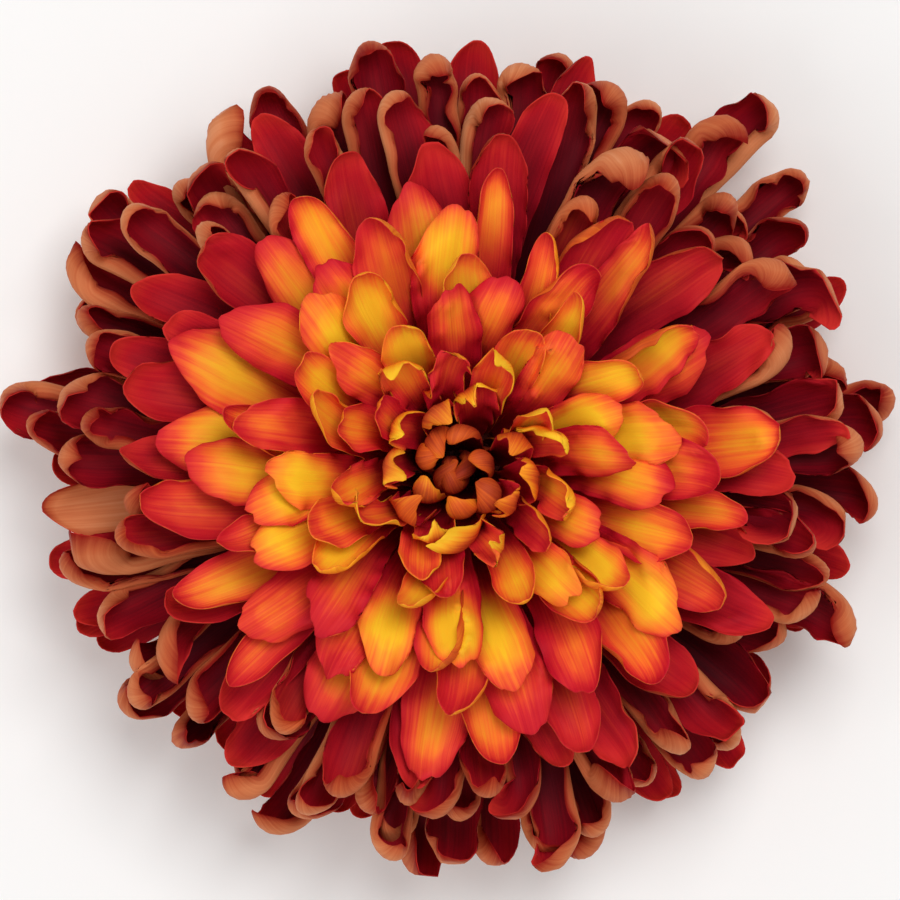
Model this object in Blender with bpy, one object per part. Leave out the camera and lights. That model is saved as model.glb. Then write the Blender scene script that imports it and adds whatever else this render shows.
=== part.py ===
"""A double chrysanthemum bloom, picked with a short stub of stem and lying face up.

Metres, +Z up. The origin is on the surface that the bloom rests on, under the middle of its outline.
The bloom grows as the real one does. A short stem carries a domed receptacle, a cup of green bracts
holds it from below, and fifteen rows of ray florets stand on the dome, from the drooping guard florets
that rest on the surface to the small closed florets of the eye.
"""

import math
import random
from collections import namedtuple

import bpy
from mathutils import Vector

MM = 0.001

# Driving dimensions.
RECEPTACLE_RADIUS = 10.0 * MM
RECEPTACLE_RISE = 9.0 * MM  # from the dome's widest circle to its top
RECEPTACLE_HEIGHT = 14.0 * MM  # of the dome's widest circle above the surface
RECEPTACLE_NECK_RADIUS = 2.9 * MM
RECEPTACLE_NECK_HEIGHT = 5.8 * MM
STEM_RADIUS = 2.8 * MM
STEM_CUT_HEIGHT = 0.9 * MM  # of the stem's cut end above the surface
STEM_FLARE = 1.06  # how much wider the stem is at its top
STEM_FLARE_START = 0.55  # the share of its height where it starts to widen
SEAT_GAP = 0.3 * MM  # between a piece and what it is seated on
SEAT_DEPTH = 0.6 * MM  # of the ring of tissue that joins the florets of a row
SEAT_WIDTH = 0.5 * MM
THICKNESS_PROFILE = ((0.0, 0.4 * MM), (0.33, 0.5 * MM), (1.0, 0.5 * MM))  # along a floret
FLORET_SPACING = 0.74  # the most that a floret fills of its share of the row's circle
BRACTS = 14

# Each floret differs from its row by up to this much.
WANDER = 0.12  # round the bloom, as a share of the step between florets
SHORTEST, LONGEST = 0.955, 1.03  # in reach
TILT = 1.5  # up or down, in degrees
LEAN = 1.2 * MM  # sideways at its tip

# Every other floret of a row is shorter and stands higher, and those between are longer and lower.
STAGGER = 0.03  # in reach
STAGGER_TILT = 1.6  # in degrees

# Neighbouring florets also drift together. A drift is a sum of waves round the bloom: how often each
# runs round, its share, and how far it turns from one row to the next, in radians.
TILT_DRIFT = 2.4  # in degrees
LEAN_DRIFT = 1.6 * MM
TILT_WAVES = ((4, 0.6, 0.45), (9, 0.4, -0.6))
LEAN_WAVES = ((6, 0.6, -0.5), (11, 0.4, 0.55))

# The outline isn't quite round: each wave runs so many times round the bloom, lengthens the outer
# florets by a share of their reach, and has a crest at an angle in degrees.
OUTLINE_WAVES = ((1, 0.060, 69.0), (2, 0.028, 20.0), (3, 0.030, 45.0))
ROUND_ROW = 8  # the first row that the waves leave alone, counted from the lowest as 0
WAVE_FADE_ROWS = 5  # below it, over which they grow to their full strength

# A row of florets. count; seat: its place on the dome, in degrees from the top; launch and arrive: the
# florets' direction at the base and near the tip, in degrees from straight up; reach and height: the
# tip's place before it curls, in mm from the stem's axis and above the surface; width: across the
# widest place, in mm; cup: how far the edges stand above the midrib there, in mm; curl: how far the tip
# turns up, in degrees.
Row = namedtuple("Row", "count seat launch arrive reach height width cup curl")
ROWS = (
    Row(22, 104, 99, 100, 44.5, 1.8, 7.6, 1.0, 40),
    Row(22, 97, 91, 105, 50.0, 7.0, 8.0, 1.2, 36),
    Row(30, 90, 84, 104, 52.2, 12.5, 7.8, 1.3, 34),
    Row(30, 83, 76, 102, 51.2, 18.5, 7.8, 1.3, 32),
    Row(30, 76, 68, 100, 48.7, 24.3, 7.8, 1.3, 30),
    Row(30, 69, 60, 98, 45.2, 29.8, 7.8, 1.3, 26),
    Row(26, 62, 52, 96, 41.0, 34.6, 7.8, 1.2, 20),
    Row(20, 55, 45, 93, 36.6, 38.8, 8.2, 1.0, 8),
    Row(20, 48, 38, 88, 31.6, 42.2, 8.2, 1.0, 8),
    Row(18, 41, 31, 80, 26.2, 45.0, 7.8, 1.0, 10),
    Row(16, 34, 24, 68, 20.6, 47.0, 7.2, 1.0, 12),
    Row(14, 28, 16, 60, 15.0, 47.9, 6.2, 0.6, 12),
    Row(10, 21, 11, 30, 10.3, 47.6, 5.3, 0.4, 14),
    Row(7, 14, 6, 2, 5.6, 44.8, 4.0, 0.3, 18),
    Row(4, 6, 2, -8, 2.4, 41.5, 3.6, 0.3, 14),
)
SINGLE_ROWS = ("guard_floret", "second_floret")  # the florets of these rows are pieces of their own

# A floret's width along its length, as shares of its widest.
WIDTH_PROFILE = ((0.0, 0.24), (0.3, 0.55), (0.6, 0.9), (0.75, 1.0), (0.9, 0.86), (1.0, 0.3))
JOINED_SECTIONS = (0.0, 0.3, 0.58, 0.8, 0.93)
SINGLE_SECTIONS = (0.0, 0.16, 0.34, 0.52, 0.69, 0.83, 0.94)
CURL_START = 0.72  # where along a floret its tip starts to turn up
LAUNCH_PULL = 0.42  # how far the launch direction carries, as a share of the floret's span
ARRIVE_PULL = 0.34  # and the arrival direction
CUP_GROWTH = 2.4  # how early along a floret its cup reaches full depth
CURVE_STEPS = 40
RECEPTACLE_STEPS = 28
STEM_STEPS = 20
BRACT_STEPS = 4

FIRST_ORANGE_ROW = 7
FIRST_GOLD_ROW = 12
RED = (0.42, 0.03, 0.02, 1.0)
ORANGE = (0.85, 0.24, 0.02, 1.0)
GOLD = (0.92, 0.52, 0.05, 1.0)
GREEN = (0.22, 0.30, 0.08, 1.0)
PALE_GREEN = (0.50, 0.52, 0.22, 1.0)


def clear_scene():
    for existing in list(bpy.data.objects):
        bpy.data.objects.remove(existing, do_unlink=True)


def interpolate(table, position):
    """The value at a position in a table of (position, value) pairs, along straight lines."""
    for (start, low), (end, high) in zip(table, table[1:]):
        if position <= end:
            return low + (high - low) * (position - start) / (end - start)
    return table[-1][1]


def lowness(row_number):
    """1 for the lowest rows, fading to 0 for the round rows of the bloom's middle."""
    return min(1.0, max(0.0, (ROUND_ROW - row_number) / WAVE_FADE_ROWS))


def outline_wave(angle, row_number):
    """How far the florets reach at an angle round the bloom, as a share of their row's reach."""
    change = 0.0
    for times, share, crest in OUTLINE_WAVES:
        change += share * math.cos(times * (angle - math.radians(crest)))
    return 1.0 + lowness(row_number) * change


def drift(waves, angle, row_number):
    """How far a row's florets drift at an angle round the bloom, from -1 to 1."""
    return sum(share * math.sin(times * angle + turn * row_number) for times, share, turn in waves)


def along(angle):
    """The direction of a polar angle, in a plane through the stem's axis: outward, upward."""
    return Vector((math.sin(angle), math.cos(angle)))


def across(angle):
    """The same direction turned a quarter towards the bloom's middle."""
    return Vector((-math.cos(angle), math.sin(angle)))


def dome_point(seat_angle, distance=0.0):
    """A point on the receptacle's dome, or a distance off it, and the direction that faces away."""
    point = Vector(
        (
            RECEPTACLE_RADIUS * math.sin(seat_angle),
            RECEPTACLE_HEIGHT + RECEPTACLE_RISE * math.cos(seat_angle),
        )
    )
    normal = Vector((math.sin(seat_angle) / RECEPTACLE_RADIUS, math.cos(seat_angle) / RECEPTACLE_RISE))
    normal.normalize()
    return point + normal * distance, normal


def floret_curve(row, reach, tilt):
    """The midrib, as points and directions at equal steps in the plane of the stem's axis.

    It leaves the dome at the launch angle, arches over to the arrival angle, and its tip turns up.
    """
    base, _ = dome_point(math.radians(row.seat), SEAT_GAP + SEAT_DEPTH)
    tip = Vector((row.reach * MM * reach, row.height * MM))
    offset = tip - base
    turned = Vector(
        (
            offset.x * math.cos(tilt) - offset.y * math.sin(tilt),
            offset.x * math.sin(tilt) + offset.y * math.cos(tilt),
        )
    )
    tip = base + turned
    span = offset.length
    leave = base + along(math.radians(row.launch)) * span * LAUNCH_PULL
    enter = tip - along(math.radians(row.arrive)) * span * ARRIVE_PULL
    arch = []
    for step in range(CURVE_STEPS + 1):
        t = step / CURVE_STEPS
        s = 1.0 - t
        arch.append(base * s**3 + leave * 3 * s * s * t + enter * 3 * s * t * t + tip * t**3)
    points = [base]
    angles = []
    for step in range(CURVE_STEPS):
        piece = arch[step + 1] - arch[step]
        v = (step + 0.5) / CURVE_STEPS
        turn = max(0.0, (v - CURL_START) / (1.0 - CURL_START))
        angle = math.atan2(piece.x, piece.y) - math.radians(row.curl) * turn * turn
        angles.append(angle)
        points.append(points[-1] + along(angle) * piece.length)
    angles.append(angles[-1])
    return points, angles


def curve_at(curve, v):
    """The midrib's point and direction at a share of its length."""
    points, angles = curve
    place = min(v * CURVE_STEPS, CURVE_STEPS - 1e-6)
    step = int(place)
    share = place - step
    return points[step].lerp(points[step + 1], share), angles[step]


def florets_of(row_number):
    """Every floret of a row: its angle round the bloom, its midrib and its sideways lean."""
    row = ROWS[row_number]
    chance = random.Random(row_number + 1)
    pitch = 2.0 * math.pi / row.count
    florets = []
    for number in range(row.count):
        wander = chance.uniform(-WANDER, WANDER)
        reach = chance.uniform(SHORTEST, LONGEST)
        tilt = chance.uniform(-TILT, TILT)
        lean = chance.uniform(-LEAN, LEAN)
        angle = (number + 0.5 * (row_number % 2) + wander) * pitch
        side = 1 if number % 2 else -1
        reach -= STAGGER * side
        tilt += STAGGER_TILT * side * lowness(row_number)
        tilt = math.radians(tilt + TILT_DRIFT * drift(TILT_WAVES, angle, row_number))
        lean += LEAN_DRIFT * drift(LEAN_WAVES, angle, row_number)
        reach = reach * outline_wave(angle, row_number)
        florets.append((angle, floret_curve(row, reach, tilt), lean))
    return florets


def section(row, angle, curve, lean, v):
    """The four corners of a floret's lens-shaped section: right edge, top, left edge, bottom."""
    place, direction = curve_at(curve, v)
    outward = Vector((math.cos(angle), math.sin(angle), 0.0))
    sideways = Vector((-math.sin(angle), math.cos(angle), 0.0))
    upward = Vector((0.0, 0.0, 1.0))
    face = across(direction)
    face = outward * face.x + upward * face.y
    middle = outward * place.x + upward * place.y + sideways * lean * v * v
    room = math.pi * place.x / row.count * FLORET_SPACING
    half = min(0.5 * row.width * MM * interpolate(WIDTH_PROFILE, v), room)
    lift = row.cup * MM * min(1.0, v * v * CUP_GROWTH)
    thick = 0.5 * interpolate(THICKNESS_PROFILE, v)
    return (
        middle - sideways * half + face * lift,
        middle + face * thick,
        middle + sideways * half + face * lift,
        middle - face * thick,
    )


def tip_point(angle, curve, lean):
    place, direction = curve_at(curve, 1.0)
    outward = Vector((math.cos(angle), math.sin(angle), 0.0))
    sideways = Vector((-math.sin(angle), math.cos(angle), 0.0))
    return outward * place.x + Vector((0.0, 0.0, place.y)) + sideways * lean


def skin(vertices, faces, first, sections, tip):
    """Cover a floret from its first four corners, through its sections, to its tip."""
    ring = first
    for corners in sections:
        start = len(vertices)
        vertices.extend(corners)
        following = [start, start + 1, start + 2, start + 3]
        # Each side is cut from the floret's edge to its middle, so its two faces stay as far apart as
        # its thickness where it is twisted.
        for edge, middle in ((0, 1), (2, 3)):
            faces.append((ring[middle], ring[edge], following[middle]))
            faces.append((ring[edge], following[edge], following[middle]))
        for middle, edge in ((1, 2), (3, 0)):
            faces.append((ring[edge], ring[middle], following[middle]))
            faces.append((ring[edge], following[middle], following[edge]))
        ring = following
    vertices.append(tip)
    apex = len(vertices) - 1
    for side in range(4):
        faces.append((ring[(side + 1) % 4], ring[side], apex))


def single_floret(row_number, floret):
    """One loose floret: its base stands just clear of the dome."""
    row = ROWS[row_number]
    angle, curve, lean = floret
    seat, _ = dome_point(math.radians(row.seat), SEAT_GAP)
    first_place = curve[0][0]
    back = Vector((math.cos(angle), math.sin(angle), 0.0)) * (seat.x - first_place.x)
    back.z = seat.y - first_place.y
    base = [corner + back for corner in section(row, angle, curve, lean, 0.0)]
    vertices = list(base)
    faces = [(0, 1, 2, 3)]
    sections = [section(row, angle, curve, lean, v) for v in SINGLE_SECTIONS]
    skin(vertices, faces, [0, 1, 2, 3], sections, tip_point(angle, curve, lean))
    return vertices, faces


def joined_row(row_number):
    """A whole row: a thin ring of tissue round the dome, with the florets growing out of it."""
    row = ROWS[row_number]
    seat_angle = math.radians(row.seat)
    seat, normal = dome_point(seat_angle, SEAT_GAP)
    uphill = Vector((-normal.y, normal.x))
    vertices, faces = [], []
    stations = []
    florets = florets_of(row_number)
    for angle, curve, lean in florets:
        right, top, left, bottom = section(row, angle, curve, lean, 0.0)
        corners = {"right": right, "top": top, "left": left, "bottom": bottom}
        start = len(vertices)
        vertices.extend((right, top, left, bottom))
        outer = {"right": start, "top": start + 1, "left": start + 2, "bottom": start + 3}
        for name, above, below in (
            ("right", "right", "right"),
            ("top", "top", "bottom"),
            ("left", "left", "left"),
        ):
            turn = math.atan2(corners[name].y, corners[name].x)
            inner = len(vertices)
            for side in (0.5, -0.5):
                place = seat + uphill * SEAT_WIDTH * side
                vertices.append(Vector((place.x * math.cos(turn), place.x * math.sin(turn), place.y)))
            stations.append((inner, outer[above], outer[below], inner + 1))
        sections = [section(row, angle, curve, lean, v) for v in JOINED_SECTIONS[1:]]
        first = [outer["right"], outer["top"], outer["left"], outer["bottom"]]
        skin(vertices, faces, first, sections, tip_point(angle, curve, lean))
    for here, there in zip(stations, stations[1:] + stations[:1]):
        faces.append((here[0], here[1], there[1], there[0]))
        faces.append((here[2], here[3], there[3], there[2]))
        faces.append((here[3], here[0], there[0], there[3]))
    return vertices, faces


def lathe(profile, steps):
    """Turn a profile of (radius, height) points round the axis; a point on the axis becomes a pole."""
    vertices, faces, rings = [], [], []
    for radius, height in profile:
        if radius == 0.0:
            vertices.append(Vector((0.0, 0.0, height)))
            rings.append([len(vertices) - 1] * steps)
            continue
        start = len(vertices)
        for step in range(steps):
            turn = 2.0 * math.pi * step / steps
            vertices.append(Vector((radius * math.cos(turn), radius * math.sin(turn), height)))
        rings.append(list(range(start, start + steps)))
    for lower, upper in zip(rings, rings[1:]):
        for step in range(steps):
            after = (step + 1) % steps
            corners = (lower[step], lower[after], upper[after], upper[step])
            faces.append(tuple(dict.fromkeys(corners)))
    return vertices, faces


def receptacle():
    """The swollen end of the stem that carries every floret: a neck, a flare and a dome."""
    profile = [(0.0, RECEPTACLE_NECK_HEIGHT), (RECEPTACLE_NECK_RADIUS, RECEPTACLE_NECK_HEIGHT)]
    for seat_angle in (128, 110, 96, 82, 68, 54, 40, 26, 12):
        point, _ = dome_point(math.radians(seat_angle))
        profile.append((point.x, point.y))
    profile.append((0.0, RECEPTACLE_HEIGHT + RECEPTACLE_RISE))
    return lathe(profile, RECEPTACLE_STEPS)


def stem_stub():
    """The cut end of the stem, a little wider where it meets the receptacle."""
    top = RECEPTACLE_NECK_HEIGHT - SEAT_GAP
    profile = [
        (0.0, STEM_CUT_HEIGHT),
        (STEM_RADIUS, STEM_CUT_HEIGHT),
        (STEM_RADIUS, STEM_FLARE_START * top),
        (STEM_RADIUS * STEM_FLARE, top),
        (0.0, top),
    ]
    return lathe(profile, STEM_STEPS)


def involucre():
    """The cup of green bracts: a thin shell under the receptacle that ends in pointed tips."""
    steps = BRACTS * BRACT_STEPS
    # Outside the cup from its hole to its rim, then back inside: radius, height and how far the tips
    # pull that place outward and upward, all in mm.
    profile = (
        (3.8, 5.1, 0.0, 0.0),
        (6.3, 6.5, 0.0, 0.0),
        (8.7, 7.8, 0.0, 0.0),
        (11.2, 9.3, 1.6, 0.4),
        (11.0, 9.8, 1.4, 0.2),
        (8.3, 8.4, 0.0, 0.0),
        (6.0, 7.1, 0.0, 0.0),
        (3.5, 5.75, 0.0, 0.0),
    )
    vertices, faces = [], []
    for radius, height, pull, rise in profile:
        for step in range(steps):
            turn = 2.0 * math.pi * step / steps
            # 1 at a bract's tip, -1 between two bracts
            point = 1.0 - 4.0 * abs((step % BRACT_STEPS) / BRACT_STEPS - 0.5)
            out = (radius + pull * point) * MM
            up = (height + rise * point) * MM
            vertices.append(Vector((out * math.cos(turn), out * math.sin(turn), up)))
    rings = len(profile)
    for ring in range(rings):
        following = (ring + 1) % rings
        for step in range(steps):
            after = (step + 1) % steps
            faces.append(
                (
                    ring * steps + step,
                    ring * steps + after,
                    following * steps + after,
                    following * steps + step,
                )
            )
    return vertices, faces


def material(name, colour):
    made = bpy.data.materials.new(name)
    made.use_nodes = True
    shader = made.node_tree.nodes["Principled BSDF"]
    shader.inputs["Base Color"].default_value = colour
    shader.inputs["Roughness"].default_value = 0.5
    shader.inputs["Metallic"].default_value = 0.0
    return made


def add_piece(name, shape, colour, centre):
    """Make an object of a shape, moved so that the bloom's outline is centred on the origin."""
    vertices, faces = shape
    mesh = bpy.data.meshes.new(name)
    mesh.from_pydata([tuple(vertex - centre) for vertex in vertices], [], faces)
    mesh.update()
    mesh.shade_smooth()
    mesh.materials.append(material(name, colour))
    piece = bpy.data.objects.new(name, mesh)
    bpy.context.scene.collection.objects.link(piece)
    return piece


def row_colour(row_number):
    if row_number < FIRST_ORANGE_ROW:
        return RED
    return ORANGE if row_number < FIRST_GOLD_ROW else GOLD


def bloom_shapes():
    """Every piece's name, shape and colour."""
    shapes = [
        ("stem_stub", stem_stub(), PALE_GREEN),
        ("receptacle", receptacle(), PALE_GREEN),
        ("involucre", involucre(), GREEN),
    ]
    for row_number in range(len(ROWS)):
        colour = row_colour(row_number)
        if row_number < len(SINGLE_ROWS):
            for number, floret in enumerate(florets_of(row_number), 1):
                name = f"{SINGLE_ROWS[row_number]}_{number:02d}"
                shapes.append((name, single_floret(row_number, floret), colour))
        else:
            shapes.append((f"floret_row_{row_number + 1:02d}", joined_row(row_number), colour))
    return shapes


def outline_centre(shapes):
    """The point under the middle of the outline, at the height of the lowest floret."""
    every = [vertex for _, (vertices, _), _ in shapes for vertex in vertices]
    lows = [min(vertex[axis] for vertex in every) for axis in range(3)]
    highs = [max(vertex[axis] for vertex in every) for axis in range(3)]
    return Vector(((lows[0] + highs[0]) / 2.0, (lows[1] + highs[1]) / 2.0, lows[2]))


def build():
    clear_scene()
    shapes = bloom_shapes()
    centre = outline_centre(shapes)
    for name, shape, colour in shapes:
        add_piece(name, shape, colour, centre)


build()
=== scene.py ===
"""The finish of the chrysanthemum bloom: every floret as a thin curled petal, the bracts and the cut stem."""

import math
import random
from collections import namedtuple
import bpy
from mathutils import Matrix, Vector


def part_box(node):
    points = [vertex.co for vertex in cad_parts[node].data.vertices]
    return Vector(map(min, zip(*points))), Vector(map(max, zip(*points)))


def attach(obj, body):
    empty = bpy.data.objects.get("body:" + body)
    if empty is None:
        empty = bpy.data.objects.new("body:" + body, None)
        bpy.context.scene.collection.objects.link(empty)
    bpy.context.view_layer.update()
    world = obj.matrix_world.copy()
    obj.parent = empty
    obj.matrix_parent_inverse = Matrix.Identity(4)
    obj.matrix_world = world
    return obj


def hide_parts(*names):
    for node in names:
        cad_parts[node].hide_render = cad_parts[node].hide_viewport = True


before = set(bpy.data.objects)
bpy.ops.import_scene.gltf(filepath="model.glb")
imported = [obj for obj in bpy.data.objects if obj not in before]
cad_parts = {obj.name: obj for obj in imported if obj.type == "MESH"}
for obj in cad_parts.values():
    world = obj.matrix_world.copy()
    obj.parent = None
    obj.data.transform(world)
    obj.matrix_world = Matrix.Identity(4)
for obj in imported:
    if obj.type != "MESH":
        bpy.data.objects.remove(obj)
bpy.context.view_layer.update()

from types import SimpleNamespace

import bpy
import numpy as np
from mathutils import Vector

MM = 0.001
NO_SHARE, NO_LENGTH = 1e-6, 1e-12  # the least that is divided by
MANNER_SEED, BREEZE_SEED, BRACT_SEED = 100, 200, 77

# The bloom's build, as the CAD has it: a dome that the rows of florets stand on.
DOME_RADIUS = 10.0 * MM
DOME_RISE = 9.0 * MM  # from its widest place to its top
DOME_HEIGHT = 14.0 * MM  # of its widest place
FLORET_FOOT = 0.9 * MM  # of a floret's base off the dome
# Waves of the outline: how many, how deep as a share of a floret's reach, and a crest's bearing in degrees.
# They fade out over some rows up to the first round one.
OUTLINE_WAVES = ((1, 0.060, 69.0), (2, 0.028, 20.0), (3, 0.030, 45.0))
ROUND_ROW, FADE_ROWS = 8, 5
# How far a floret is off its row's even pattern: round the bloom, as a share of the row's step; in reach, as
# a share of the row's; in tilt, in degrees; and how far its tip leans aside. Every other one is staggered. A
# drift is shared with the neighbours, in waves: how many, their share, and their turn from row to row.
WANDER = 0.12
SHORTEST, LONGEST, STAGGER = 0.955, 1.03, 0.03
TILT, STAGGER_TILT = 1.5, 1.6
LEAN = 1.2 * MM
TILT_DRIFT, LEAN_DRIFT = 2.4, 1.6 * MM
TILT_WAVES = ((4, 0.6, 0.45), (9, 0.4, -0.6))
LEAN_WAVES = ((6, 0.6, -0.5), (11, 0.4, 0.55))
# A midrib: how far its ends pull on its arch, as shares of its span, and where its tip starts to curl.
LAUNCH_PULL, ARRIVE_PULL = 0.42, 0.34
CURL_START = 0.72
CURVE_STEPS = 40

# The rows, from level 0, the lowest, up. count: its florets; seat: where they stand on the dome; launch and
# arrive: the midrib's direction at its foot and at its tip; reach and height: where the tip is, in mm; width:
# a floret's, in mm; curl: how far the tip curls up. Angles are from straight up, in degrees.
Row = namedtuple("Row", "count seat launch arrive reach height width curl")
ROWS = (
    Row(22, 104, 99, 100, 44.5, 1.8, 7.6, 40),
    Row(22, 97, 91, 105, 50.0, 7.0, 8.0, 36),
    Row(30, 90, 84, 104, 52.2, 12.5, 7.8, 34),
    Row(30, 83, 76, 102, 51.2, 18.5, 7.8, 32),
    Row(30, 76, 68, 100, 48.7, 24.3, 7.8, 30),
    Row(30, 69, 60, 98, 45.2, 29.8, 7.8, 26),
    Row(26, 62, 52, 96, 41.0, 34.6, 7.8, 20),
    Row(20, 55, 45, 93, 36.6, 38.8, 8.2, 8),
    Row(20, 48, 38, 88, 31.6, 42.2, 8.2, 8),
    Row(18, 41, 31, 80, 26.2, 44.8, 7.8, 10),
    Row(16, 34, 24, 68, 20.6, 46.4, 7.2, 12),
    Row(14, 28, 16, 60, 15.0, 46.5, 6.2, 12),
    Row(10, 21, 11, 30, 10.3, 46.1, 5.3, 14),
    Row(7, 14, 6, 2, 5.6, 44.8, 4.4, 18),
    Row(4, 6, 2, -8, 2.4, 41.5, 3.8, 14),
)
SINGLE_ROWS = ("guard_floret", "second_floret")  # the rows whose florets are nodes of their own

# How a floret is folded, its angles in degrees. trough: the fold along its middle; side and tip: the whole
# fold at its edges and at its tip, below zero where it is convex; roll: how late towards the rim it folds;
# skew: how far its sides differ; wobble: how much the fold of its rim wanders; twist: the most that it turns
# towards its tip; point: how far the tip is drawn out, as a share of the half width; sharp: 1 for a round
# tip, more for a pointed one; broad: its width beside its row's; notch: how deep the tip is notched, in mm,
# below zero where it has peaks; groove and ruffle: how deep its grooves are and its rim waves, in mm.
Form = namedtuple("Form", "trough side tip roll skew wobble twist point sharp broad notch groove ruffle")
FORMS = {
    "boat": Form(64, 152, 168, 1.9, 0.6, 18, 38, 1.6, 1.35, 0.86, 0.15, 0.1, 0.45),
    "hood": Form(44, 114, 190, 1.75, 0.65, 20, 38, 1.5, 1.3, 0.98, 0.2, 0.12, 0.45),
    "turned": Form(46, 168, 156, 1.6, 0.75, 18, 64, 1.6, 1.4, 0.9, 0.15, 0.1, 0.45),
    "open": Form(28, 60, 66, 2.5, 0.45, 14, 28, 1.4, 1.3, 0.9, 0.3, 0.16, 0.4),
    "spoon": Form(-14, -58, -40, 2.1, 0.7, 14, 20, 1.25, 1.3, 1.12, 0.9, 0.32, 0.45),
    "dish": Form(14, 58, 66, 2.7, 0.7, 20, 24, 1.3, 1.3, 1.06, 0.8, 0.28, 0.5),
    "rimmed": Form(22, 92, 98, 2.9, 0.7, 20, 28, 1.4, 1.3, 0.98, 0.4, 0.2, 0.45),
    "strip": Form(22, 94, 74, 2.3, 0.6, 14, 48, 1.7, 1.35, 0.66, 0.2, 0.1, 0.3),
    "cup": Form(34, 76, 104, 2.5, 0.7, 32, 40, 1.35, 1.25, 1.16, -2.0, 0.16, 0.8),
    "bud": Form(66, 122, 148, 1.8, 0.3, 10, 16, 0.95, 1.1, 1.12, 0.2, 0.1, 0.15),
}
# How one floret strays from its form: down to ruffle as shares of the form's values, then on its own.
# wavelength and ripple: of the waves of its fold and of its rim; phase: where they start; lobes: waves of the
# fold round its tip; heave and heaves: how far and how often its middle rises; bend: how far it bows aside;
# tuck: in degrees; lopsided and swell: how far its tip and its sides are off, by its half width.
STRAY = dict(
    trough=(0.75, 1.25),
    notch=(0.3, 1.3),
    side=(0.82, 1.14),
    tip=(0.80, 1.12),
    roll=(0.85, 1.15),
    wobble=(0.4, 1.2),
    point=(0.85, 1.15),
    groove=(0.4, 1.4),
    ruffle=(0.4, 1.3),
    notch_place=(-0.12, 0.12),
    wavelength=(6.0, 11.0),
    phase=(0.0, math.tau),
    lobes=(1.5, 3.6),
    heave=(0.0, 0.35),
    heaves=(0.8, 1.6),
    bend=(-1.9, 1.9),
    tuck=(-3.0, 3.0),
    ripple=(3.5, 6.0),
    lopsided=(-0.22, 0.22),
    swell=(0.0, 0.09),
)
IN_MM = ("notch", "groove", "ruffle", "wavelength", "heave", "bend", "ripple")
NOTCH_PLACES = ((-0.3, 0.35), (0.05,), (-0.55, 0.0, 0.5), (0.45, -0.2))  # round the tip, in radians

# How a row looks. forms: how often each form turns up; warm: 0 for the dark outer florets to 1 for the
# bright ones; gold: how much of the face is yellow; hem: how yellow the rim is; stray: how far florets stray
# round the bloom, as a share of their step.
Look = namedtuple("Look", "forms warm gold hem stray")
OUTLINE = {"open": 0.60, "boat": 0.26, "turned": 0.09, "hood": 0.05}
DARK = {"boat": 0.46, "turned": 0.20, "hood": 0.19, "open": 0.15}
BRIGHT = {"spoon": 0.36, "dish": 0.26, "rimmed": 0.22, "strip": 0.16}
LOOKS = (
    Look(OUTLINE, 0, 0, 0, 0),
    Look(OUTLINE, 0, 0, 0, 0),
    Look(OUTLINE, 0, 0, 0, 0.25),
    Look(DARK, 0, 0.02, 0, 0.32),
    Look(DARK, 0.02, 0.05, 0, 0.32),
    Look(DARK, 0.05, 0.12, 0, 0.3),
    Look({"boat": 0.3, "open": 0.25, "rimmed": 0.25, "dish": 0.2}, 0.24, 0.26, 0.1, 0.22),
    Look(BRIGHT, 0.84, 0.62, 0.2, 0.2),
    Look(BRIGHT, 1, 0.74, 0.35, 0.2),
    Look(BRIGHT, 1, 0.82, 0.4, 0.18),
    Look({"spoon": 0.42, "dish": 0.33, "rimmed": 0.25}, 1, 0.92, 0.5, 0.16),
    Look({"cup": 0.75, "dish": 0.25}, 1, 0.56, 0.75, 0.14),
    Look({"cup": 1}, 1, 0.36, 0.75, 0.14),
    Look({"bud": 1}, 1, 0.34, 0.4, 0.1),
    Look({"bud": 1}, 1, 0.22, 0.2, 0.1),
)
# How one floret strays from its row's look.
CURLS, CURL_STRAY = (0.5, 1.2), 9.0  # its curl, as a share of the row's, and degrees on top
BREADTHS, GOLDS, HEMS = (0.82, 1.12), (0.5, 1.2), (0.2, 1.2)  # as shares of its form's or its row's
MOST_GOLD = 1.2
WARM_STRAY, WARM_LEAST = 0.14, 0.4  # its warmth, and the share of that in a dark row

# Where the wind has turned the dark florets over: the bearing and half width of that side, in degrees.
GUST_BEARING, GUST_SPREAD = 33.0, 34.0
GUST_TWIST, GUST_TWISTS = 34.0, (-0.4, 1.0)  # how much further their tips turn, in degrees
GUST_FLIP, GUST_FLIPS = 30.0, (-0.15, 1.0)  # and how much further they turn from their feet on
GUST_SHORT = 0.14  # how much shorter some of them are, as a share of their reach
GUST_ROW = 2  # the lowest row that the wind turns: those under it keep the outline
GUST_FORMS = {"turned": 1.6, "hood": 6.0, "open": 0.08}  # how much oftener a form turns up there

# Florets that stand out in the photo: the row, the bearing in degrees, the form, how broad and how golden it
# is beside its row, and how far its tip and the whole floret are turned, in degrees.
Accent = namedtuple("Accent", "row bearing form broad gold twist flip", defaults=(0, 0))
ACCENTS = (
    Accent(3, -174, "spoon", 0.95, 1, 8, 165),
    Accent(7, 70, "rimmed", 1.1, 0.25, 10),
    Accent(7, 166, "spoon", 1.15, 1.4, -6),
    Accent(7, 148, "spoon", 1.1, 1.3, 8),
    Accent(8, 89, "spoon", 1.15, 1.3),
    Accent(8, 27, "strip", 1.3, 1.1, 30),
    Accent(8, -36, "spoon", 1.1, 1.2),
    Accent(9, -163, "spoon", 1.25, 1.25, 5),
    Accent(9, -107, "spoon", 1.15, 1.15, -8),
    Accent(9, 122, "spoon", 1.15, 1.15, 6),
    Accent(9, -29, "strip", 1.4, 1.2, -45),
    Accent(9, 10, "spoon", 1.1, 1.1, 4),
    Accent(10, -81, "spoon", 1.3, 1.25),
)

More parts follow.
